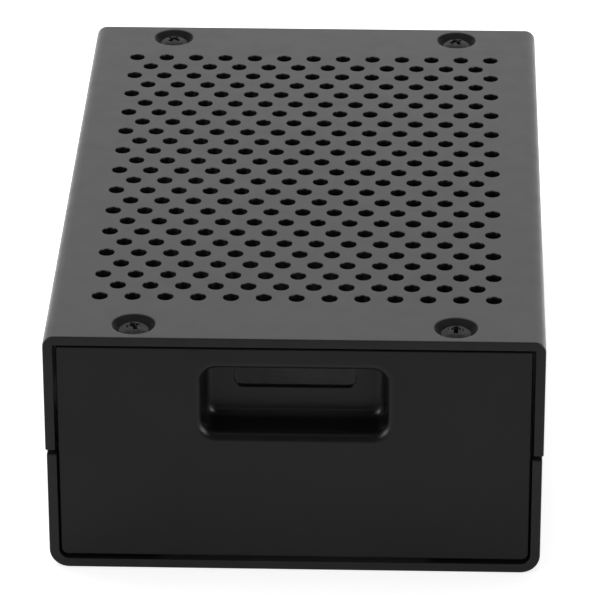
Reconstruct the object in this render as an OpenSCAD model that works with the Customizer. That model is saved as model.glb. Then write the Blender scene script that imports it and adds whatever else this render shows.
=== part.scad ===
// Single board computer case: two folded sheet shells, screwed to moulded end panels.
// It lies on its plain shell with the perforated shell up. The card slot faces -Y.

/* [Case] */
// Length from front rim to rear rim
case_length = 93.4; // [93:0.1:99]
// Outside width of the perforated cover
case_width = 60.4; // [60:0.1:66]
// Height from the base's plain face to the perforated face
case_height = 31.8; // [31.5:0.1:38]
// Thickness of the folded sheet
sheet = 1.2; // [0.8:0.1:1.5]
// Inside radius of the cover's two bends
cover_bend = 0.2; // [0.1:0.1:2]
// Inside radius of the base's two bends
base_bend = 1.2; // [0.2:0.1:3]
// How far each side of the base stands inside the cover's side
base_inset = 0.15; // [0:0.05:0.3]
// Height of the cover's sides, from its perforated face
cover_skirt = 15.6; // [14:0.1:17]
// Open joint between the cover's sides and the base's
seam_gap = 0.45; // [0.2:0.05:1]

/* [Vents] */
// Diameter of one vent hole
vent_d = 1.95; // [1:0.05:2.4]
// Distance between neighbouring holes in a row
vent_pitch = 4; // [3.4:0.1:4.2]
// Distance between neighbouring rows
row_pitch = 3; // [2.6:0.1:3.1]
// From the front rim to the first row
vent_front = 11; // [9:0.1:12]
// Least distance from the last row to the rear rim
vent_rear = 10; // [9:0.1:12]
// Least distance from the longer rows' end holes to the sides
vent_side = 6; // [4:0.1:12]

/* [Case screws] */
// Distance of a screw from the nearer side
screw_side = 10.8; // [9.2:0.1:13.2]
// Distance of a screw from the nearer rim
screw_edge = 3.6; // [3.4:0.1:4]
// Thread diameter of the screws
screw_d = 2; // [1.8:0.1:2.2]
// Head diameter of the screws
screw_head_d = 3.8; // [3.6:0.1:4]
// How far the middle of a head is raised over its rim
head_raise = 0.75; // [0.2:0.05:0.8]
// Length of a cover screw, from the rim of its head
cover_screw_length = 5; // [4:0.5:5.5]
// Length of a base screw, from the rim of its head
base_screw_length = 3; // [3:0.5:3.5]
// Diameter of the countersink at the sheet's outer face
sink_d = 5.4; // [5.2:0.1:5.8]
// Outside diameter of a threaded insert
insert_d = 3.5; // [3.4:0.1:3.6]
// Length of a threaded insert
insert_length = 3; // [2:0.1:3.2]

/* [End panels] */
// Gap between a panel's edge and the shells
panel_gap = 0.35; // [0.2:0.05:0.6]
// How far a panel stands behind the rims
panel_setback = 0.4; // [0:0.1:0.6]
// Thickness of a panel
panel_t = 1.4; // [1.2:0.1:1.5]
// Depth of the bosses behind the cover
cover_boss_h = 6.4; // [6:0.1:6.6]
// Depth of the bosses behind the base
base_boss_h = 3.8; // [3.7:0.1:4]

/* [Card recess] */
// Width of the finger recess at its mouth
recess_w = 24.6; // [21:0.1:26]
// Height of the finger recess at its mouth
recess_h = 11; // [10:0.1:11.2]
// From the perforated face down to the recess's upper edge
recess_top = 3.35; // [3.2:0.05:3.7]
// Corner radius of the mouth
recess_corner = 3; // [2.4:0.1:3.4]
// Depth of the recess behind the panel's face
recess_depth = 4.4; // [3.8:0.1:4.6]
// Rounding of the recess's rim
recess_rim = 1.2; // [0.6:0.1:1.3]
// Rounding between the recess's walls and its back
recess_fillet = 1.1; // [0.6:0.1:1.2]
// Wall left around and behind the recess
recess_wall = 0.9; // [0.8:0.1:1.1]
// Width of the card slot
slot_w = 14.85; // [12:0.05:16]
// Height of the card slot
slot_h = 2.9; // [2.4:0.1:2.9]
// Corner radius of the card slot
slot_corner = 1.05; // [0.5:0.05:1.1]

/* [Board it holds] */
// Gap between the board's long edges and the base's sides
board_side_gap = 0.85; // [0.5:0.05:2.5]
// Thickness of the board
board_t = 1.4; // [1:0.1:1.6]
// From the perforated face down to the board
board_drop = 8.8; // [8.5:0.1:9]
// Distance of the board's holes from its edges
board_hole_edge = 3.5; // [3:0.1:4]
// Distance between the board's holes along the case
board_hole_pitch = 58; // [50:0.5:60]
// Diameter of a board post
post_d = 5; // [4:0.1:5.6]
// Diameter of the threaded hole in a post
post_hole_d = 2.5; // [2:0.1:3]
// Depth of the threaded hole in a post
post_hole_depth = 8; // [5:0.5:12]

/* [Hidden] */

$fn = 48;
// Clearances: board to panel, screw or insert in its hole, head in its seat, jack in its opening
board_clear = 0.2;
screw_clear = 0.04;
seat_clear = 0.02;
tip_clear = 0.3;
jack_clear = 0.4;
// Wall of a boss around its insert, and of the pad that meets the sheet
boss_wall = 1.25;
pad_wall = 0.6;
// Corner radii of the port openings and of the panels' corners at the cover
port_corner = 1;
panel_corner = 0.6;
// Cross recess in a screw head: width of the cross, of one bar, and depth below the head's rim
cross_w = 1.8;
cross_bar = 0.5;
cross_depth = 0.7;
// Draft of the recess's walls, and the steps in its rounded stretches
recess_draft = 0.2;
round_steps = 4;
// Groove round the middle of an insert: depth and width
groove_depth = 0.25;
groove_w = 0.8;
// Foot of a board post: how far it stands out, and its thickness
foot_lip = 0.6;
foot_t = 0.8;
// Cutters reach this far past what they cut
eps = 0.2;

// Width of the board, and height of its face over the base, that the port lists are written for
port_board_w = 56;
port_board_h = 20.4;
// Ports on the board's short edge: [from the board's side edge, width, height]
end_jacks = [[10.25, 15.9, 13.5], [29, 14.8, 16], [47, 14.8, 16]];
// Ports on the board's long edge: [from the board's front edge, width]
side_jacks = [[10.6, 11], [32, 17], [53.5, 8.5]];

// Planes of the case
front_y = -case_length / 2;
inner_top = case_height - sheet;
base_width = case_width - 2 * base_inset;
cover_edge_z = case_height - cover_skirt;
screw_x = case_width / 2 - screw_side;
vent_columns = floor((case_width - 2 * vent_side) / vent_pitch) + 1;
vent_rows = floor((case_length - vent_front - vent_rear) / row_pitch) + 1;
base_edge_z = cover_edge_z - seam_gap;

// Panels and their bosses
panel_w = base_width - 2 * sheet - 2 * panel_gap;
panel_low = sheet + panel_gap;
panel_high = inner_top - panel_gap;
panel_low_corner = max(base_bend - panel_gap, panel_corner);
boss_d = insert_d + 2 * boss_wall;
pad_d = insert_d + 2 * pad_wall;

// Screw seat: the countersink and the head have sides at 45 degrees
head_sink = (sink_d - screw_head_d) / 2;
seat_d = max(sink_d - 2 * sheet, screw_d + 2 * screw_clear);

// Board
recess_back = panel_setback + recess_depth;
board_front_y = front_y + recess_back + recess_wall + board_clear;
board_width = base_width - 2 * sheet - 2 * board_side_gap;
board_back_z = case_height - board_drop;
board_face_z = board_back_z - board_t;
post_x = board_width / 2 - board_hole_edge;
post_y = board_front_y + board_hole_edge;

// Recess and slot
recess_z = case_height - recess_top - recess_h / 2;
slot_z = board_back_z - board_clear + slot_h / 2;

// Rectangle on the origin with round corners
module rounded_rect(w, h, r) {
    square([w - 2 * r, h], center = true);
    square([w, h - 2 * r], center = true);
    for (x = [-1, 1], y = [-1, 1])
        translate([x * (w / 2 - r), y * (h / 2 - r)]) circle(r = r);
}

// Upright prism of an outline drawn in X and Z, from y = 0 to y = depth
module upright(depth) {
    translate([0, depth, 0]) rotate([90, 0, 0]) linear_extrude(depth) children();
}

// U outline: floor at y = 0, sides rising to side_h, bends of the given outside radius
module channel_outline(w, side_h, bend) {
    translate([-w / 2, bend]) square([w, side_h - bend]);
    translate([-w / 2 + bend, 0]) square([w - 2 * bend, side_h]);
    for (x = [-1, 1]) translate([x * (w / 2 - bend), bend]) circle(r = bend);
}

// Sheet folded into a U, its outer face at z = 0 and its sides rising
module channel(w, side_h, bend) {
    translate([0, front_y, 0]) upright(case_length) difference() {
        channel_outline(w, side_h, bend + sheet);
        translate([0, sheet]) channel_outline(w - 2 * sheet, side_h, bend);
    }
}

// Turns what is drawn for the base upside down, on to the cover
module on_cover() {
    translate([0, 0, case_height]) mirror([0, 0, 1]) children();
}

// The four screw places in one shell
module at_screws() {
    for (x = [-1, 1], y = [-1, 1])
        translate([x * screw_x, y * (case_length / 2 - screw_edge), 0]) children();
}

// Countersunk hole in a sheet whose outer face is at z = 0
module sink_hole() {
    translate([0, 0, -eps]) cylinder(d1 = sink_d + 2 * eps, d2 = sink_d - 2 * sheet - 2 * eps, h = sheet + 2 * eps);
    translate([0, 0, -eps]) cylinder(d = seat_d, h = sheet + 2 * eps);
}

module vent_holes() {
    for (row = [0 : vent_rows - 1]) {
        count = vent_columns - row % 2;
        for (i = [0 : count - 1])
            translate([(i - (count - 1) / 2) * vent_pitch, front_y + vent_front + row * row_pitch, -eps])
                cylinder(d = vent_d, h = sheet + 2 * eps, $fn = 24);
    }
}

// Notch for a port in the left side, open at the cover's lower edge
module side_notch(w) {
    h = board_face_z + jack_clear - cover_edge_z;
    rotate([90, 0, -90]) linear_extrude(sheet + 2 * eps, center = true) {
        translate([-w / 2, -eps]) square([w, h - port_corner + eps]);
        translate([-w / 2 + port_corner, -eps]) square([w - 2 * port_corner, h + eps]);
        for (x = [-1, 1]) translate([x * (w / 2 - port_corner), h - port_corner]) circle(r = port_corner);
    }
}

module cover_shell() {
    color([0.07, 0.07, 0.075]) difference() {
        on_cover() difference() {
            channel(case_width, cover_skirt, cover_bend);
            at_screws() sink_hole();
            vent_holes();
        }
        for (jack = side_jacks)
            translate([(sheet - case_width) / 2, board_front_y + jack[0], cover_edge_z])
                side_notch(jack[1] + 2 * jack_clear);
    }
}

module base_shell() {
    color([0.07, 0.07, 0.075]) difference() {
        channel(base_width, base_edge_z, base_bend);
        at_screws() sink_hole();
    }
}

// Boss that rises from z = 0 to a pad at z = h, bored for an insert and the screw's tip
module boss(h, screw_length) {
    reach = screw_edge - panel_setback - panel_t;
    tip_depth = screw_length + head_sink - sheet + tip_clear;
    difference() {
        union() {
            cylinder(d = boss_d, h = h - panel_gap);
            translate([-boss_d / 2, -reach, 0]) cube([boss_d, reach, h - panel_gap]);
            cylinder(d = pad_d, h = h);
        }
        translate([-pad_d / 2, -reach - pad_d, h - panel_gap]) cube([pad_d, pad_d, h]);
        translate([0, 0, h - insert_length - screw_clear])
            cylinder(d = insert_d + 2 * screw_clear, h = insert_length + screw_clear + eps);
        translate([0, 0, h - tip_depth]) cylinder(d = screw_d + 2 * screw_clear, h = tip_depth);
    }
}

// Plate and bosses of an end panel: outer face at y = 0, bosses on its +Y side
module panel_body() {
    upright(panel_t) {
        translate([-panel_w / 2, panel_low + panel_low_corner])
            square([panel_w, panel_high - panel_corner - panel_low - panel_low_corner]);
        translate([-panel_w / 2 + panel_low_corner, panel_low])
            square([panel_w - 2 * panel_low_corner, panel_low_corner]);
        translate([-panel_w / 2 + panel_corner, panel_high - panel_corner])
            square([panel_w - 2 * panel_corner, panel_corner]);
        for (x = [-1, 1]) {
            translate([x * (panel_w / 2 - panel_low_corner), panel_low + panel_low_corner])
                circle(r = panel_low_corner);
            translate([x * (panel_w / 2 - panel_corner), panel_high - panel_corner])
                circle(r = panel_corner);
        }
    }
    for (x = [-1, 1]) translate([x * screw_x, screw_edge - panel_setback, 0]) {
        translate([0, 0, inner_top - cover_boss_h]) boss(cover_boss_h, cover_screw_length);
        translate([0, 0, sheet + base_boss_h]) mirror([0, 0, 1]) boss(base_boss_h, base_screw_length);
    }
}

// Thin slice of the recess, smaller than its mouth by inset on each side
module recess_slice(inset, depth) {
    translate([0, depth, 0]) upright(0.01)
        rounded_rect(recess_w - 2 * inset, recess_h - 2 * inset, max(recess_corner - inset, 0.2), $fn = 32);
}

// Finger recess: rounded rim, drafted walls, and a rounding into its back
module recess_cutter() {
    wall_inset = recess_rim + recess_draft;
    for (i = [0 : round_steps - 1]) hull() for (k = [i, i + 1])
        recess_slice(recess_rim * sin(90 * k / round_steps), recess_rim * (1 - cos(90 * k / round_steps)));
    hull() {
        recess_slice(recess_rim, recess_rim);
        for (k = [0 : round_steps]) recess_slice(
            wall_inset + recess_fillet * (1 - cos(90 * k / round_steps)),
            recess_depth - recess_fillet * (1 - sin(90 * k / round_steps)) - 0.01);
    }
    translate([0, -eps, 0]) upright(eps) rounded_rect(recess_w, recess_h, recess_corner);
}

module front_panel() {
    pocket_w = recess_w - 2 * recess_rim + 2 * recess_wall;
    pocket_h = recess_h - 2 * recess_rim + 2 * recess_wall;
    color([0.05, 0.05, 0.055]) translate([0, front_y + panel_setback, 0]) difference() {
        union() {
            panel_body();
            translate([0, 0, recess_z]) upright(recess_depth + recess_wall)
                rounded_rect(pocket_w, pocket_h, recess_corner);
        }
        translate([0, 0, recess_z]) recess_cutter();
        translate([0, panel_t, slot_z]) upright(recess_depth + recess_wall)
            rounded_rect(slot_w, slot_h, slot_corner);
    }
}

module rear_panel() {
    color([0.05, 0.05, 0.055]) translate([0, -front_y - panel_setback, 0]) mirror([0, 1, 0]) difference() {
        panel_body();
        for (jack = end_jacks) {
            across = board_width / port_board_w;
            jack_h = jack[2] * (board_face_z - sheet) / port_board_h;
            translate([jack[0] * across - board_width / 2, -eps, board_face_z - jack_h / 2])
                upright(panel_t + 2 * eps)
                    rounded_rect(jack[1] * across + 2 * jack_clear, jack_h + 2 * jack_clear, port_corner);
        }
    }
}

// Raised countersunk screw in a sheet whose outer face is at z = 0, its tip towards +Z
module case_screw(length) {
    head_d = screw_head_d - 2 * seat_clear;
    shank_d = screw_d - 2 * seat_clear;
    crown_r = (pow(head_d / 2, 2) + pow(head_raise, 2)) / (2 * head_raise);
    translate([0, 0, head_sink]) difference() {
        union() {
            cylinder(d1 = head_d, d2 = shank_d, h = (head_d - shank_d) / 2);
            cylinder(d = shank_d, h = length);
            intersection() {
                translate([0, 0, crown_r - head_raise]) sphere(r = crown_r, $fn = 96);
                translate([0, 0, -head_raise]) cylinder(d = head_d, h = head_raise);
            }
        }
        translate([0, 0, (cross_depth - head_raise - eps) / 2]) for (turn = [0, 90]) rotate(turn)
            cube([cross_w, cross_bar, cross_depth + head_raise + eps], center = true);
    }
}

module cover_screws() {
    color([0.12, 0.12, 0.125]) on_cover() at_screws() case_screw(cover_screw_length);
}

module base_screws() {
    color([0.12, 0.12, 0.125]) at_screws() case_screw(base_screw_length);
}

// Insert whose mouth is at z = 0, widened for the screw head's cone
module insert() {
    bore_d = screw_d + 2 * screw_clear;
    mouth_d = sink_d - 2 * sheet + 2 * screw_clear;
    difference() {
        cylinder(d = insert_d, h = insert_length);
        translate([0, 0, -eps]) cylinder(d = bore_d, h = insert_length + 2 * eps);
        cylinder(d1 = mouth_d, d2 = 0, h = mouth_d / 2);
        translate([0, 0, (insert_length - groove_w) / 2]) difference() {
            cylinder(d = insert_d + eps, h = groove_w);
            cylinder(d = insert_d - 2 * groove_depth, h = groove_w);
        }
    }
}

module threaded_inserts() {
    color([0.75, 0.6, 0.3]) {
        translate([0, 0, sheet]) at_screws() insert();
        on_cover() translate([0, 0, sheet]) at_screws() insert();
    }
}

module board_posts() {
    color([0.7, 0.7, 0.72]) for (x = [-1, 1], y = [0, board_hole_pitch])
        translate([x * post_x, post_y + y, sheet]) difference() {
            union() {
                cylinder(d = post_d, h = board_face_z - sheet);
                cylinder(d = post_d + 2 * foot_lip, h = foot_t);
            }
            translate([0, 0, board_face_z - sheet - post_hole_depth])
                cylinder(d = post_hole_d, h = post_hole_depth + eps);
        }
}

cover_shell();
base_shell();
front_panel();
rear_panel();
cover_screws();
base_screws();
threaded_inserts();
board_posts();
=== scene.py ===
from collections import namedtuple
import math

import bmesh
import bpy
from mathutils import Matrix, Vector
from mathutils.geometry import delaunay_2d_cdt


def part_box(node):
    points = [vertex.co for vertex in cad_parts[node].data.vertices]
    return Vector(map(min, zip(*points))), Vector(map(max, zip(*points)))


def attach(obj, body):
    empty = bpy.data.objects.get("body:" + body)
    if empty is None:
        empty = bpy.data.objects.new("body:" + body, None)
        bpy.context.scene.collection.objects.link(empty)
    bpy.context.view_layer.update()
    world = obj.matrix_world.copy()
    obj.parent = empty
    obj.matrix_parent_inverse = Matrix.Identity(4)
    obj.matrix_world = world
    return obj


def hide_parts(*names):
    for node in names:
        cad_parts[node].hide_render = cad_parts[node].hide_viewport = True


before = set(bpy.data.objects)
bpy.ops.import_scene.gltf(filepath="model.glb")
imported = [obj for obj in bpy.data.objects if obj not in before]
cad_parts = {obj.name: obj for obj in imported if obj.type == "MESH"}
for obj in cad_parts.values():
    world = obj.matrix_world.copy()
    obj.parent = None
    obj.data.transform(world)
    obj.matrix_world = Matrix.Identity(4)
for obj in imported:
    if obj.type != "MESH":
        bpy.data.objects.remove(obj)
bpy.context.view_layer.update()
scene = bpy.context.scene
MM = 0.001

# Sizes of the case in millimetres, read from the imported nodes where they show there
COVER_LOW, COVER_HIGH = [Vector(c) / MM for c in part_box("cover_shell")]
BASE_LOW, BASE_HIGH = [Vector(c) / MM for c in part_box("base_shell")]
LENGTH = COVER_HIGH.y - COVER_LOW.y
FRONT = COVER_LOW.y
HEIGHT = COVER_HIGH.z
SHEET = 1.2
COVER_BEND, BASE_BEND = 1.4, 2.4  # outer radii
COVER_BEND_STEPS, BASE_BEND_STEPS = 7, 9

VENT_D = 1.95
VENT_PITCH = 4.0
ROW_PITCH = 3.0
VENT_COLUMNS = 13
VENT_ROWS = 25
VENT_FRONT = 11.0

SCREW_X = 19.4
SCREW_EDGE = 3.6
SINK_D = 5.4
HEAD_D = 3.8
HEAD_RAISE = 0.75
SCREW_D = 2.0
COVER_SCREW_LENGTH = 5.0
BASE_SCREW_LENGTH = 3.0
SCREW_CLEAR = 0.04
SEAT_CLEAR = 0.02
TIP_CLEAR = 0.3
CROSS_W, CROSS_BAR, CROSS_DEPTH, CROSS_ROUND = 1.8, 0.5, 0.7, 0.15
FIRST_TURN, NEXT_TURN = 20, 34  # how far the crosses are turned, in degrees
CROWN_RINGS = (0.68, 0.84, 0.97)  # parts of the head's radius

PANEL_GAP = 0.35
PANEL_SIDE_GAP = 0.2  # narrower than the construction's, as the photograph shows it
PANEL_SETBACK = 0.4
PANEL_T = 1.4
PANEL_LOW, PANEL_HIGH = SHEET + PANEL_GAP, HEIGHT - SHEET - PANEL_GAP
PANEL_W = BASE_HIGH.x - BASE_LOW.x - 2 * SHEET - 2 * PANEL_SIDE_GAP
COVER_BOSS_H = 6.4
BASE_BOSS_H = 3.8
INSERT_D = 3.5
INSERT_LENGTH = 3.0
BOSS_WALL = 1.25
PAD_WALL = 0.6
PANEL_CORNER = 0.6

RECESS_W, RECESS_H, RECESS_TOP = 24.6, 11.0, 3.35
RECESS_CORNER, RECESS_DEPTH, RECESS_RIM = 3.0, 4.4, 1.2
RECESS_FILLET, RECESS_DRAFT, RECESS_WALL = 1.1, 0.2, 0.9
RECESS_Z = HEIGHT - RECESS_TOP - RECESS_H / 2
SLOT_W, SLOT_H, SLOT_CORNER = 14.85, 2.9, 1.05

BOARD_W, BOARD_T = 56.0, 1.4
BOARD_DROP = 8.8  # from the cover's face to the board's back
BOARD_CLEAR = 0.2
BOARD_FRONT = FRONT + PANEL_SETBACK + RECESS_DEPTH + RECESS_WALL + BOARD_CLEAR
BOARD_BACK_Z = HEIGHT - BOARD_DROP
BOARD_FACE_Z = BOARD_BACK_Z - BOARD_T
JACK_CLEAR = 0.4
PORT_CORNER = 1.0
END_JACKS = [(10.25, 15.9, 13.5), (29.0, 14.8, 16.0), (47.0, 14.8, 16.0)]  # place, width, height
SIDE_JACKS = [(10.6, 11.0), (32.0, 17.0), (53.5, 8.5)]  # place, width
SLOT_Z = BOARD_BACK_Z - BOARD_CLEAR + SLOT_H / 2

# Small roundings that the construction leaves out, in pairs: the outer edge's and the inner edge's
SHEET_EDGE = (0.14, 0.06)
VENT_EDGE = (0.09, 0.05)
PANEL_EDGE = (0.2, 0.08)
SLOT_EDGE = (0.08, 0.05)
PORT_EDGE = (0.15, 0.08)
BOSS_EDGE = (0.15, 0.15)
SHEET_CORNER = 0.25
SINK_ROUND = 0.16
BOSS_ROOT = 0.05  # how far a boss reaches into its panel

# The same as profiles: (inset, depth) pairs, the pocket's from its foot
PAD_PROFILE = [(0.08, 0), (0.02, -0.02), (0, -0.08), (0, -PANEL_GAP)]
POCKET_FOOT = [(0, 0.15), (0.04, 0.04), (0.15, 0)]
CROSS_PROFILE = [(0.05, 0), (0, -0.05), (-0.1, -CROSS_DEPTH)]
HEAD_RIM = [(0.06, 0.03), (0.02, 0.0), (0, -0.04), (0.03, -0.1)]
TIP_BEVEL = 0.25

# Facets round curves
VENT_STEPS, SINK_STEPS = 28, 48
BORE_STEPS, TIP_STEPS, HEAD_STEPS = 28, 20, 40
BOSS_STEPS, PAD_STEPS = 20, 28
SHEET_CORNER_STEPS, PORT_STEPS = 3, 6
RECESS_STEPS, POCKET_STEPS = 12, 6

# Tolerances, and the step over which a surface's direction is measured
NO_INSET = 1e-9
SAME_PLACE = 1e-6
FILL_MERGE = 1e-7
NORMAL_STEP = 0.001

# The shells' materials: their faces, and their cut edges and inner side
FACE_SLOT, EDGE_SLOT = 0, 1

# Light. The world lights the object at one level. Reflections see a white tent instead: its walls fade
# to TENT_DIM between two distances to the side, and to TENT_OPEN at the door, on the camera's side. Its
# top has a light of its own between two heights. All of them are parts of a direction's length.
WORLD_LIGHT = 0.5
TENT_SIDE, TENT_DIM = (0.45, 0.7), 0.2
TENT_DOOR, TENT_OPEN = (-0.4, 0.05), 0.1
TENT_TOP, TENT_TOP_LIGHT = (0.82, 0.92), 0.7

# Lamps in metres and watts: name, place, size, power, lights the object, shows in reflections
LAMPS = [
    ("top_lamp", (-0.25, 0.35, 0.9), (0.7, 0.7), 5.0, True, False),
    ("left_lamp", (-0.62, -0.5, 0.2), (0.5, 0.36), 6.0, False, True),
    ("right_lamp", (0.62, -0.5, 0.2), (0.5, 0.36), 6.0, False, True),
]
LAMP_AIM = (0, 0, 0.01)

# Floor in metres: its glow where it is looked at, and the places along Y between which it ends in
# reflections
FLOOR_SIZE = 6.0
FLOOR_Z = -0.00002
FLOOR_TONE, FLOOR_ROUGHNESS = 0.8, 0.9
FLOOR_GLOW = 0.7
FLOOR_END = (-0.26, -0.13)

# Camera: places fitted to the photograph's vent holes and edges
CAMERA_PLACE = (16.30, -521.90, 278.20)
CAMERA_RIGHT = (0.99950126, 0.03149334, -0.00232247)
CAMERA_DOWN = (0.01217247, -0.45208856, -0.89188999)
CAMERA_LENS = 268.9
CAMERA_SENSOR = 36.0
CAMERA_NEAR = 0.01


def make_camera():
    right = Vector(CAMERA_RIGHT).normalized()
    up = -Vector(CAMERA_DOWN).normalized()
    back = right.cross(up)
    cam = bpy.data.objects.new("camera", bpy.data.cameras.new("camera"))
    cam.data.sensor_width = CAMERA_SENSOR
    cam.data.lens = CAMERA_LENS
    cam.data.clip_start = CAMERA_NEAR
    cam.matrix_world = Matrix((
        [right.x, up.x, back.x, CAMERA_PLACE[0] * MM],
        [right.y, up.y, back.y, CAMERA_PLACE[1] * MM],
        [right.z, up.z, back.z, CAMERA_PLACE[2] * MM],
        [0, 0, 0, 1],
    ))
    scene.collection.objects.link(cam)
    scene.camera = cam


# Outlines: lists of 2D points with the material on their left


def arc(cx, cy, r, start, end, steps):
    """Points on an arc, angles in degrees, both ends included."""
    angles = [math.radians(start + (end - start) * k / steps) for k in range(steps + 1)]
    return [(cx + r * math.cos(a), cy + r * math.sin(a)) for a in angles]


def circle_hole(cx, cy, r, steps):
    return [(cx + r * math.cos(a), cy + r * math.sin(a))
            for a in (-2 * math.pi * k / steps for k in range(steps))]


def rounded(cx, cy, w, h, r_top, r_low=None, steps=8):
    """Rounded rectangle, counterclockwise."""
    r_low = r_top if r_low is None else r_low
    x, y = w / 2, h / 2
    return (arc(cx + x - r_low, cy - y + r_low, r_low, -90, 0, steps)
            + arc(cx + x - r_top, cy + y - r_top, r_top, 0, 90, steps)
            + arc(cx - x + r_top, cy + y - r_top, r_top, 90, 180, steps)
            + arc(cx - x + r_low, cy - y + r_low, r_low, 180, 270, steps))


def inset(points, dist):
    """Moves each point of a closed outline to its left by dist, mitred at corners."""
    out = []
    n = len(points)
    for i, p in enumerate(points):
        a = (Vector(p) - Vector(points[i - 1])).normalized()
        b = (Vector(points[(i + 1) % n]) - Vector(p)).normalized()
        na, nb = Vector((-a.y, a.x)), Vector((-b.y, b.x))
        m = na + nb
        out.append(tuple(Vector(p) + m * (2 * dist / m.length_squared)))
    return out


def quarter(steps):
    """Angles of a quarter turn, both ends included."""
    return [math.pi / 2 * k / steps for k in range(steps + 1)]


def edge_profile(edge, thick, steps=3, inner_steps=2):
    """(inset, depth) pairs round a sheet's edge, from its outer face to its inner face."""
    outer, inner = edge
    first = [(outer * (1 - math.sin(a)), -outer * (1 - math.cos(a))) for a in quarter(steps)]
    last = [(inner * (1 - math.cos(a)), -thick + inner * (1 - math.sin(a))) for a in quarter(inner_steps)]
    return first + last


def sink_profile(thick, steps=4):
    """(inset, depth) pairs down a countersink's rounded mouth and its 45 degree cone."""
    corner = Vector((thick, 0.0))
    start = corner + Vector((SINK_ROUND, 0.0))
    end = corner + Vector((-SINK_ROUND, -SINK_ROUND)) * math.sqrt(0.5)
    curve = []
    for k in range(steps + 1):
        t = k / steps
        curve.append(tuple(start * (1 - t) ** 2 + corner * 2 * t * (1 - t) + end * t ** 2))
    return curve + [(0.0, -thick)]


Ring = namedtuple("Ring", "verts normals points depth")


class Mesh:
    """Rings of points, the faces between and inside them, and the normal at each face's corners."""

    def __init__(self, place=None):
        self.bm = bmesh.new()
        self.place = place
        self.corners = []

    def normal(self, x, y, depth, side, up):
        """Normal made of a part along the surface, the 2D vector side, and a part out of it, up."""
        step = NORMAL_STEP
        here = self.place
        along_x = (Vector(here(x + step, y, depth)) - Vector(here(x - step, y, depth))).normalized()
        along_y = (Vector(here(x, y + step, depth)) - Vector(here(x, y - step, depth))).normalized()
        out = (Vector(here(x, y, depth + step)) - Vector(here(x, y, depth - step))).normalized()
        return (along_x * side[0] + along_y * side[1] + out * up).normalized()

    def face(self, verts, normals, slot):
        self.bm.faces.new(verts).material_index = slot
        self.corners.append(dict(zip(verts, normals)))

    def walls(self, outline, profile, top=(0, 1), bottom=(0, -1), faces=None):
        """Faces round an outline along a profile of (inset, depth) pairs. The normals at its two ends
        are given as (inset, depth) parts too, or as None where it ends in a sharp edge. After so many
        faces down the profile, the material is the cut edge's. Returns the first and the last ring."""
        sides = outline_normals(outline)
        rings = []
        for (move, depth), tilt in zip(profile, profile_normals(profile, top, bottom)):
            points = inset(outline, move) if abs(move) > NO_INSET else list(outline)
            verts = [self.bm.verts.new(Vector(self.place(x, y, depth)) * MM) for x, y in points]
            normals = [self.normal(x, y, depth, (sx * tilt[0], sy * tilt[0]), tilt[1])
                       for (x, y), (sx, sy) in zip(points, sides)]
            rings.append(Ring(verts, normals, points, depth))
        for k, (a, b) in enumerate(zip(rings, rings[1:])):
            slot = FACE_SLOT if faces is None or k < faces else EDGE_SLOT
            for i in range(len(outline)):
                j = (i + 1) % len(outline)
                self.face((a.verts[i], a.verts[j], b.verts[j], b.verts[i]),
                          (a.normals[i], a.normals[j], b.normals[j], b.normals[i]), slot)
        return rings[0], rings[-1]

    def cap(self, rings, up=1, lines=(), slot=FACE_SLOT):
        """Fills the flat between closed rings. The first is the outside, the rest are holes. Lines are
        pairs of points that an edge of the fill has to join."""
        coords, verts, normals, owner, edges = [], [], [], [], []
        for k, ring in enumerate(rings):
            base, count = len(coords), len(ring.points)
            coords += [Vector(p) for p in ring.points]
            verts += ring.verts
            normals += [self.normal(x, y, ring.depth, (0, 0), up) for x, y in ring.points]
            owner += [k] * count
            edges += [(base + i, base + (i + 1) % count) for i in range(count)]
        edges += list(lines)
        _, _, triangles, sources, *_ = delaunay_2d_cdt(coords, edges, [], 0, FILL_MERGE)
        back = [ids[0] if ids else -1 for ids in sources]
        for triangle in triangles:
            ids = [back[i] for i in triangle]
            if min(ids) < 0 or len(set(ids)) < 3:
                continue
            owners = {owner[i] for i in ids}
            if len(owners) == 1:
                k = owners.pop()
                centre = sum((coords[i] for i in ids), Vector((0.0, 0.0))) / 3
                if inside(centre, rings[k].points) != (k == 0):
                    continue
            self.face([verts[i] for i in ids], [normals[i] for i in ids], slot)

    def finish(self, name, materials):
        corner_normals = []
        for face, normals in zip(self.bm.faces, self.corners):
            face.normal_update()
            if face.normal.dot(sum(normals.values(), Vector())) < 0:
                face.normal_flip()
            face.smooth = True
            corner_normals += [normals[loop.vert] for loop in face.loops]
        data = bpy.data.meshes.new(name)
        self.bm.to_mesh(data)
        self.bm.free()
        data.normals_split_custom_set(corner_normals)
        for m in materials:
            data.materials.append(m)
        piece = bpy.data.objects.new(name, data)
        scene.collection.objects.link(piece)
        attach(piece, "root")
        return piece


def outline_normals(points):
    """For each point of a closed outline, the direction to its left, led by its longer side."""
    out = []
    n = len(points)
    for i, p in enumerate(points):
        a = Vector(p) - Vector(points[i - 1])
        b = Vector(points[(i + 1) % n]) - Vector(p)
        m = Vector((-a.y, a.x)) + Vector((-b.y, b.x))
        out.append(tuple(m.normalized()))
    return out


def profile_normals(profile, top, bottom):
    """For each pair of a profile, the direction out of the surface, led by its longer side."""
    steps = [(b[0] - a[0], b[1] - a[1]) for a, b in zip(profile, profile[1:])]
    out = []
    for k in range(len(profile)):
        near = steps[max(k - 1, 0):k + 1]
        m = Vector((sum(d for _, d in near), -sum(w for w, _ in near)))
        out.append(tuple(m.normalized()))
    if top:
        out[0] = top
    if bottom:
        out[-1] = bottom
    return out


def inside(p, points):
    """True where a point lies inside a closed outline."""
    hit = False
    for i, (x1, y1) in enumerate(points):
        x0, y0 = points[i - 1]
        if (y0 > p.y) != (y1 > p.y) and p.x < x0 + (p.y - y0) * (x1 - x0) / (y1 - y0):
            hit = not hit
    return hit


# Materials


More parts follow.
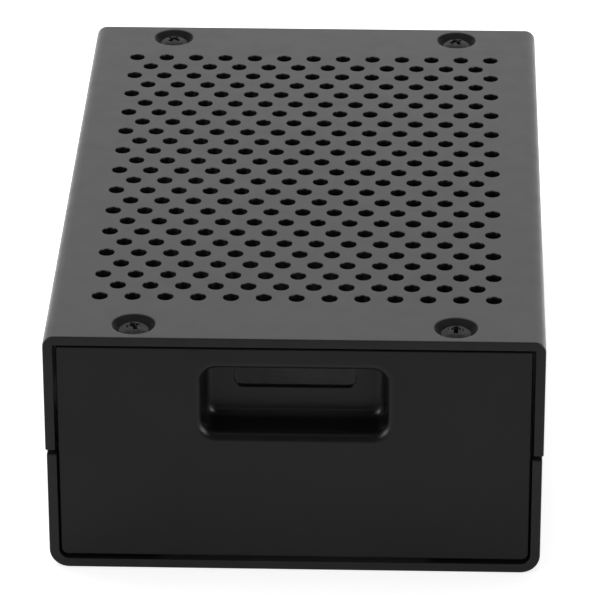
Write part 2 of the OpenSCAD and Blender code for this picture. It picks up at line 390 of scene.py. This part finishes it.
# the parts of a noise's range that the values and tones are spread over
SPREAD_SPAN = (0.3, 0.7)
TINT_SPAN = (0.35, 0.7)


def material(name, colour, roughness, metallic=0.0, specular=0.5):
    m = bpy.data.materials.new(name)
    m.use_nodes = True
    shader = m.node_tree.nodes["Principled BSDF"]
    shader.inputs["Base Color"].default_value = (*colour, 1)
    shader.inputs["Roughness"].default_value = roughness
    shader.inputs["Metallic"].default_value = metallic
    shader.inputs["Specular IOR Level"].default_value = specular
    return m


def noise(m, scale, detail=3.0):
    """Noise in the object's own space, in millimetres."""
    tree = m.node_tree
    where = tree.nodes.new("ShaderNodeTexCoord")
    tex = tree.nodes.new("ShaderNodeTexNoise")
    tex.inputs["Scale"].default_value = scale / MM
    tex.inputs["Detail"].default_value = detail
    tree.links.new(where.outputs["Object"], tex.inputs["Vector"])
    return tex.outputs["Fac"]


def spread(m, fac, low, high):
    """Drives the roughness between low and high."""
    tree = m.node_tree
    span = tree.nodes.new("ShaderNodeMapRange")
    span.inputs["From Min"].default_value, span.inputs["From Max"].default_value = SPREAD_SPAN
    span.inputs["To Min"].default_value = low
    span.inputs["To Max"].default_value = high
    tree.links.new(fac, span.inputs["Value"])
    tree.links.new(span.outputs["Result"], tree.nodes["Principled BSDF"].inputs["Roughness"])


def bump(m, fac, height, strength):
    """Fine unevenness of a surface, its height in millimetres."""
    tree = m.node_tree
    node = tree.nodes.new("ShaderNodeBump")
    node.inputs["Distance"].default_value = height * MM
    node.inputs["Strength"].default_value = strength
    tree.links.new(fac, node.inputs["Height"])
    tree.links.new(node.outputs["Normal"], tree.nodes["Principled BSDF"].inputs["Normal"])


def tint(m, fac, dark, pale):
    """Drives the base colour between two tones."""
    tree = m.node_tree
    ramp = tree.nodes.new("ShaderNodeValToRGB")
    for stop, place, tone in zip(ramp.color_ramp.elements, TINT_SPAN, (dark, pale)):
        stop.position = place
        stop.color = (*tone, 1)
    tree.links.new(fac, ramp.inputs["Fac"])
    tree.links.new(ramp.outputs["Color"], tree.nodes["Principled BSDF"].inputs["Base Color"])


def make_coating():
    m = material("black_coating", (0.012, 0.012, 0.0125), roughness=0.34, specular=0.6)
    tint(m, noise(m, scale=0.05), dark=(0.010, 0.010, 0.0105), pale=(0.014, 0.014, 0.0145))
    spread(m, noise(m, scale=0.35, detail=5.0), low=0.31, high=0.38)
    bump(m, noise(m, scale=3.2, detail=2.0), height=0.004, strength=0.5)
    return m


def make_edge():
    """The sheets' cut edges and inner side, coated thinner and less even."""
    m = material("coated_edge", (0.006, 0.006, 0.0063), roughness=0.42, specular=0.18)
    tint(m, noise(m, scale=0.3), dark=(0.005, 0.005, 0.0052), pale=(0.008, 0.008, 0.0083))
    spread(m, noise(m, scale=1.0, detail=5.0), low=0.38, high=0.48)
    return m


def make_plastic():
    m = material("black_plastic", (0.008, 0.008, 0.0083), roughness=0.3, specular=0.14)
    tint(m, noise(m, scale=0.08), dark=(0.007, 0.007, 0.0072), pale=(0.009, 0.009, 0.0093))
    spread(m, noise(m, scale=0.3, detail=5.0), low=0.28, high=0.36)
    bump(m, noise(m, scale=4.0, detail=2.0), height=0.002, strength=0.4)
    return m


def make_screw_black():
    m = material("black_screw", (0.012, 0.012, 0.013), roughness=0.3, specular=0.12)
    tint(m, noise(m, scale=1.2), dark=(0.007, 0.007, 0.0073), pale=(0.018, 0.018, 0.018))
    spread(m, noise(m, scale=2.0, detail=4.0), low=0.24, high=0.4)
    return m


def make_brass():
    m = material("brass", (0.62, 0.42, 0.17), roughness=0.3, metallic=1.0)
    tint(m, noise(m, scale=0.8), dark=(0.55, 0.36, 0.14), pale=(0.68, 0.48, 0.2))
    spread(m, noise(m, scale=2.0, detail=4.0), low=0.24, high=0.38)
    return m


def make_steel():
    m = material("plated_steel", (0.55, 0.55, 0.56), roughness=0.28, metallic=1.0)
    tint(m, noise(m, scale=0.5), dark=(0.48, 0.48, 0.49), pale=(0.62, 0.62, 0.62))
    spread(m, noise(m, scale=1.5, detail=4.0), low=0.22, high=0.36)
    return m


# Shells


def fold(width, bend, top):
    """Place of a flat pattern's point on the folded sheet. top is 1 for the cover, -1 for the base."""
    flat = width / 2 - bend
    turn = math.pi / 2 * (bend - SHEET / 2)

    def place(u, y, depth):
        side = 1 if u > 0 else -1
        v = abs(u)
        r = bend + depth
        if v <= flat:
            x, z = v, depth
        elif v < flat + turn:
            a = (v - flat) / turn * math.pi / 2
            x, z = flat + r * math.sin(a), -bend + r * math.cos(a)
        else:
            x, z = flat + r, -bend - (v - flat - turn)
        return side * x, y, (HEIGHT + z) if top > 0 else -z

    return place, flat, turn


def bend_lines(flat, turn, steps):
    """Places across the flat pattern where a bend is cut into facets."""
    return [side * (flat + turn * k / steps) for side in (-1, 1) for k in range(steps + 1)]


def sheet_outline(half, lines, notches):
    """Outline of a flat pattern, with notches in its left edge: (from, to, depth)."""
    rear = FRONT + LENGTH
    r = SHEET_CORNER
    cuts = sorted(lines)

    def corner(x, y, start):
        return arc(x, y, r, start, start + 90, SHEET_CORNER_STEPS)

    points = corner(-half + r, FRONT + r, 180) + [(u, FRONT) for u in cuts]
    points += corner(half - r, FRONT + r, -90) + corner(half - r, rear - r, 0)
    points += [(u, rear) for u in cuts[::-1]] + corner(-half + r, rear - r, 90)
    for y0, y1, depth in sorted(notches, reverse=True):
        u = -half + depth - PORT_CORNER
        points += corner(-half + r, y1 + r, 180)
        points += arc(u, y1 - PORT_CORNER, PORT_CORNER, 90, 0, PORT_STEPS)
        points += arc(u, y0 + PORT_CORNER, PORT_CORNER, 0, -90, PORT_STEPS)
        points += corner(-half + r, y0 - r, 90)
    return points


def shell(name, width, bend, bend_steps, top, side_h, holes, notches, materials):
    """Sheet folded into a U, with holes given as (outline, profile, normal at the bottom)."""
    place, flat, turn = fold(width, bend, top)
    half = flat + turn + side_h - bend
    cuts = bend_lines(flat, turn, bend_steps)
    outline = sheet_outline(half, cuts, notches)
    mesh = Mesh(place)
    rings = [mesh.walls(outline, edge_profile(SHEET_EDGE, SHEET), faces=2)]
    rings += [mesh.walls(hole, profile, bottom=bottom, faces=3) for hole, profile, bottom in holes]
    outer, inner = zip(*rings)
    lines = [tuple(i for i, (x, y) in enumerate(outline)
                   if abs(x - u) < SAME_PLACE and abs(abs(y) - LENGTH / 2) < SAME_PLACE) for u in cuts]
    mesh.cap(outer, 1, lines)
    mesh.cap(inner, -1, lines, EDGE_SLOT)
    return mesh.finish(name, materials)


def screw_places():
    return [(x * SCREW_X, y * (LENGTH / 2 - SCREW_EDGE)) for x in (-1, 1) for y in (-1, 1)]


def sink_holes():
    return [(circle_hole(x, y, SINK_D / 2 - SHEET, SINK_STEPS), sink_profile(SHEET), None)
            for x, y in screw_places()]


def vent_holes():
    profile = edge_profile(VENT_EDGE, SHEET)
    holes = []
    for row in range(VENT_ROWS):
        count = VENT_COLUMNS - row % 2
        for i in range(count):
            x = (i - (count - 1) / 2) * VENT_PITCH
            outline = circle_hole(x, FRONT + VENT_FRONT + row * ROW_PITCH, VENT_D / 2, VENT_STEPS)
            holes.append((outline, profile, (0, -1)))
    return holes


def make_cover(materials):
    depth = BOARD_FACE_Z + JACK_CLEAR - COVER_LOW.z
    notches = [(BOARD_FRONT + y - w / 2 - JACK_CLEAR, BOARD_FRONT + y + w / 2 + JACK_CLEAR, depth)
               for y, w in SIDE_JACKS]
    piece = shell("perforated_cover", COVER_HIGH.x - COVER_LOW.x, COVER_BEND, COVER_BEND_STEPS, 1,
                  HEIGHT - COVER_LOW.z, sink_holes() + vent_holes(), notches, materials)
    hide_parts("cover_shell")


def make_base(materials):
    piece = shell("plain_base", BASE_HIGH.x - BASE_LOW.x, BASE_BEND, BASE_BEND_STEPS, -1,
                  BASE_HIGH.z, sink_holes(), [], materials)
    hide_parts("base_shell")


# End panels


def add_boss(mesh, x, inward, top, h, screw_length):
    """Boss behind a panel, bored for an insert. top is 1 below the cover and -1 above the base."""
    y = -inward * (LENGTH / 2 - SCREW_EDGE)
    face = HEIGHT - SHEET if top > 0 else SHEET
    mesh.place = lambda u, v, depth: (x + u, y + inward * v, face + top * depth)
    reach = SCREW_EDGE - PANEL_SETBACK - PANEL_T
    root = -reach - BOSS_ROOT
    r = INSERT_D / 2 + BOSS_WALL
    block = [(-r, root), (r, root)] + arc(0, 0, r, 0, 180, BOSS_STEPS)
    body = [(w, d - PANEL_GAP) for w, d in edge_profile(BOSS_EDGE, h - PANEL_GAP)]
    shoulder, foot = mesh.walls(block, body)
    mesh.cap([foot], -1)
    pad_r = INSERT_D / 2 + PAD_WALL
    cut = math.degrees(math.asin(reach / pad_r))
    pad = arc(0, 0, pad_r, -cut, 180 + cut, PAD_STEPS)
    pad_top, pad_foot = mesh.walls(pad, PAD_PROFILE, bottom=None)
    mesh.cap([shoulder, pad_foot])
    bore = circle_hole(0, 0, INSERT_D / 2 + SCREW_CLEAR, BORE_STEPS)
    narrow = circle_hole(0, 0, SCREW_D / 2 + SCREW_CLEAR, TIP_STEPS)
    step = -INSERT_LENGTH - SCREW_CLEAR
    tip = -(screw_length + (SINK_D - HEAD_D) / 2 - SHEET + TIP_CLEAR)
    mouth, seat = mesh.walls(bore, [(0, 0), (0, step)], None, None)
    mesh.cap([pad_top, mouth])
    neck, end = mesh.walls(narrow, [(0, step), (0, tip)], None, None)
    mesh.cap([seat, neck])
    mesh.cap([end])


def add_bosses(mesh, inward):
    for x in (-SCREW_X, SCREW_X):
        add_boss(mesh, x, inward, 1, COVER_BOSS_H, COVER_SCREW_LENGTH)
        add_boss(mesh, x, inward, -1, BASE_BOSS_H, BASE_SCREW_LENGTH)


def panel_plate(mesh):
    """The plate's edge, from its outer face to its inner one. Returns the rings that bound the faces."""
    centre = (PANEL_LOW + PANEL_HIGH) / 2
    low_corner = max(BASE_BEND - SHEET - PANEL_GAP, PANEL_CORNER)
    outline = rounded(0, centre, PANEL_W, PANEL_HIGH - PANEL_LOW, PANEL_CORNER, low_corner)
    return mesh.walls(outline, edge_profile(PANEL_EDGE, PANEL_T, steps=4))


def recess_profile(steps=6):
    """Rounded rim, drafted wall and a rounding into the back, as (inset, depth) pairs."""
    rim = [(-RECESS_RIM * math.sin(a), -RECESS_RIM * (1 - math.cos(a))) for a in quarter(steps)]
    wall = RECESS_RIM + RECESS_DRAFT
    foot = [(-wall - RECESS_FILLET * (1 - math.cos(a)), -RECESS_DEPTH + RECESS_FILLET * (1 - math.sin(a)))
            for a in quarter(steps)]
    return rim + foot


def make_front_panel(plastic):
    face_y = FRONT + PANEL_SETBACK
    mesh = Mesh(lambda x, z, depth: (x, face_y - depth, z))
    front, rear = panel_plate(mesh)
    mouth = rounded(0, RECESS_Z, RECESS_W, RECESS_H, RECESS_CORNER, steps=RECESS_STEPS)[::-1]
    first, back = mesh.walls(mouth, recess_profile(), bottom=(0, 1))
    mesh.cap([front, first])
    slot = rounded(0, SLOT_Z, SLOT_W, SLOT_H, SLOT_CORNER)[::-1]
    lip = [(w, d - RECESS_DEPTH) for w, d in edge_profile(SLOT_EDGE, RECESS_WALL)]
    slot_front, slot_rear = mesh.walls(slot, lip)
    mesh.cap([back, slot_front])
    wider = 2 * RECESS_WALL - 2 * RECESS_RIM
    pocket = rounded(0, RECESS_Z, RECESS_W + wider, RECESS_H + wider, RECESS_CORNER, steps=POCKET_STEPS)
    foot = [(w, d - RECESS_DEPTH - RECESS_WALL) for w, d in POCKET_FOOT]
    pocket_front, pocket_rear = mesh.walls(pocket, [(0, -PANEL_T)] + foot, top=None)
    mesh.cap([rear, pocket_front], -1)
    mesh.cap([pocket_rear, slot_rear], -1)
    add_bosses(mesh, 1)
    piece = mesh.finish("front_end_panel", [plastic])
    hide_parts("front_panel")


def make_rear_panel(plastic):
    face_y = FRONT + LENGTH - PANEL_SETBACK
    mesh = Mesh(lambda x, z, depth: (x, face_y + depth, z))
    front, rear = panel_plate(mesh)
    rings = [(front, rear)]
    for x, w, h in END_JACKS:
        hole = rounded(x - BOARD_W / 2, BOARD_FACE_Z - h / 2, w + 2 * JACK_CLEAR, h + 2 * JACK_CLEAR,
                       PORT_CORNER)[::-1]
        rings.append(mesh.walls(hole, edge_profile(PORT_EDGE, PANEL_T)))
    outer, inner = zip(*rings)
    mesh.cap(outer)
    mesh.cap(inner, -1)
    add_bosses(mesh, -1)
    piece = mesh.finish("rear_end_panel", [plastic])
    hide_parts("rear_panel")


# Screws


def cross_outline(turn):
    """Cross recess, clockwise, with rounded inner corners."""
    long, bar = CROSS_W / 2, CROSS_BAR / 2
    arm = [(long, bar), (long, -bar)]
    arm += [(bar + CROSS_ROUND * (1 - math.cos(t)), -bar - CROSS_ROUND * (1 - math.sin(t)))
            for t in quarter(2)[::-1]]
    points = []
    for k in range(4):
        a = math.radians(turn - 90 * k)
        points += [(x * math.cos(a) - y * math.sin(a), x * math.sin(a) + y * math.cos(a)) for x, y in arm]
    return points


def crown_height(w):
    """Height over a head's rim at the distance w from its middle."""
    rim = HEAD_D / 2 - SEAT_CLEAR
    r = (rim ** 2 + HEAD_RAISE ** 2) / (2 * HEAD_RAISE)
    return math.sqrt(r ** 2 - w ** 2) - r + HEAD_RAISE


def add_screw(mesh, x, y, top, length, turn):
    """Raised countersunk screw. The cross is cut from a flat that is then pushed up to the crown."""
    face = HEIGHT if top > 0 else 0
    sink = (SINK_D - HEAD_D) / 2
    shank = SCREW_D / 2 - SEAT_CLEAR
    head = HEAD_D / 2 - SEAT_CLEAR

    def place(u, v, depth):
        rise = crown_height(min(math.hypot(u, v), head)) if depth > -CROSS_DEPTH / 2 else 0
        return x + u, y + v, face + top * (depth + rise - sink)

    mesh.place = place
    ring, well = mesh.walls(cross_outline(turn), CROSS_PROFILE, bottom=None)
    mesh.cap([well])
    for w in CROWN_RINGS:
        wider = mesh.walls(circle_hole(0, 0, head * w, HEAD_STEPS)[::-1], [(0, 0)])[0]
        mesh.cap([wider, ring])
        ring = wider
    mesh.place = lambda u, v, depth: (x + u, y + v, face + top * (depth - sink))
    cone = head - shank
    side = HEAD_RIM + [(cone, -cone), (cone, -length + TIP_BEVEL), (cone + TIP_BEVEL, -length)]
    tip = mesh.walls(circle_hole(0, 0, head, HEAD_STEPS)[::-1], side)[1]
    mesh.cap([tip], -1)


def make_screws(name, node, top, length, black):
    mesh = Mesh()
    for k, (x, y) in enumerate(screw_places()):
        add_screw(mesh, x, y, top, length, FIRST_TURN + NEXT_TURN * k)
    piece = mesh.finish(name, [black])
    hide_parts(node)


# Stage and light


def maths(tree, operation, *sources):
    """Result of a new maths node, its inputs from sockets or plain numbers."""
    node = tree.nodes.new("ShaderNodeMath")
    node.operation = operation
    for socket, source in zip(node.inputs, sources):
        if isinstance(source, (int, float)):
            socket.default_value = source
        else:
            tree.links.new(source, socket)
    return node.outputs[0]


def mapped(tree, value, span, to):
    """value moved from one span to another, and held at its ends."""
    node = tree.nodes.new("ShaderNodeMapRange")
    node.inputs["From Min"].default_value, node.inputs["From Max"].default_value = span
    node.inputs["To Min"].default_value, node.inputs["To Max"].default_value = to
    tree.links.new(value, node.inputs["Value"])
    return node.outputs["Result"]


def mixed(tree, factor, a, b):
    """a where factor is 0 and b where it is 1."""
    return maths(tree, "ADD", maths(tree, "MULTIPLY", maths(tree, "SUBTRACT", 1.0, factor), a),
                 maths(tree, "MULTIPLY", factor, b))


def axes(tree, space):
    """X, Y and Z of a texture space, by name."""
    where = tree.nodes.new("ShaderNodeTexCoord")
    split = tree.nodes.new("ShaderNodeSeparateXYZ")
    tree.links.new(where.outputs[space], split.inputs[0])
    return split.outputs


def ray_is(tree, *kinds):
    """1 for rays of the kinds named, and 0 for the others."""
    path = tree.nodes.new("ShaderNodeLightPath").outputs
    found = path["Is %s Ray" % kinds[0]]
    for kind in kinds[1:]:
        found = maths(tree, "MAXIMUM", found, path["Is %s Ray" % kind])
    return found


def make_world():
    """White where it is looked at, a plain level as light, and a tent in reflections."""
    world = bpy.data.worlds.new("world")
    scene.world = world
    world.use_nodes = True
    tree = world.node_tree
    back = tree.nodes["Background"]
    back.inputs["Color"].default_value = (1, 1, 1, 1)
    along = axes(tree, "Generated")
    roof = mapped(tree, along["Z"], TENT_TOP, (0.0, TENT_TOP_LIGHT))
    door = mapped(tree, along["Y"], TENT_DOOR, (TENT_OPEN, 1.0))
    side = mapped(tree, maths(tree, "ABSOLUTE", along["X"]), TENT_SIDE, (1.0, TENT_DIM))
    tent = maths(tree, "MULTIPLY", side, maths(tree, "MAXIMUM", roof, door))
    level = mixed(tree, ray_is(tree, "Glossy"), WORLD_LIGHT, tent)
    looked = ray_is(tree, "Camera", "Transmission")
    tree.links.new(mixed(tree, looked, level, 1.0), back.inputs["Strength"])


def make_floor():
    """Pale floor that keeps shadows, white where it is looked at and clear from underneath."""
    bpy.ops.mesh.primitive_plane_add(size=FLOOR_SIZE, location=(0, 0, FLOOR_Z))
    floor = bpy.context.active_object
    floor.name = "floor"
    m = material("floor_white", (FLOOR_TONE,) * 3, FLOOR_ROUGHNESS, specular=0.0)
    tree = m.node_tree
    shader = tree.nodes["Principled BSDF"]
    shader.inputs["Emission Color"].default_value = (1, 1, 1, 1)
    reach = mapped(tree, axes(tree, "Object")["Y"], FLOOR_END, (0.0, 1.0))
    near = mixed(tree, ray_is(tree, "Glossy"), 1.0, reach)
    looked = ray_is(tree, "Camera", "Transmission", "Glossy")
    glow = maths(tree, "MULTIPLY", maths(tree, "MULTIPLY", looked, FLOOR_GLOW), near)
    tree.links.new(glow, shader.inputs["Emission Strength"])
    tree.links.new(maths(tree, "MULTIPLY", near, FLOOR_TONE), shader.inputs["Base Color"])
    sides = tree.nodes.new("ShaderNodeMixShader")
    below = tree.nodes.new("ShaderNodeNewGeometry").outputs["Backfacing"]
    clear = tree.nodes.new("ShaderNodeBsdfTransparent").outputs["BSDF"]
    for socket, source in zip(sides.inputs, (below, shader.outputs["BSDF"], clear)):
        tree.links.new(source, socket)
    tree.links.new(sides.outputs["Shader"], tree.nodes["Material Output"].inputs["Surface"])
    floor.data.materials.append(m)


def lamp(name, place, size, power, lights, mirrored):
    light = bpy.data.lights.new(name, "AREA")
    light.shape = "RECTANGLE"
    light.size, light.size_y = size
    light.energy = power
    obj = bpy.data.objects.new(name, light)
    obj.location = place
    obj.rotation_euler = (Vector(place) - Vector(LAMP_AIM)).to_track_quat("Z", "Y").to_euler()
    obj.visible_diffuse = lights
    obj.visible_glossy = mirrored
    scene.collection.objects.link(obj)


def main():
    scene.view_settings.view_transform = "Standard"
    make_camera()
    coating, edge, plastic = make_coating(), make_edge(), make_plastic()
    make_cover([coating, edge])
    make_base([coating, edge])
    make_front_panel(plastic)
    make_rear_panel(plastic)
    black, brass, steel = make_screw_black(), make_brass(), make_steel()
    make_screws("perforated_side_screws", "cover_screws", 1, COVER_SCREW_LENGTH, black)
    make_screws("plain_side_screws", "base_screws", -1, BASE_SCREW_LENGTH, black)
    for name, m in (("threaded_inserts", brass), ("board_posts", steel)):
        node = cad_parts[name]
        node.data.materials.clear()
        node.data.materials.append(m)
    make_world()
    make_floor()
    for each in LAMPS:
        lamp(*each)


main()
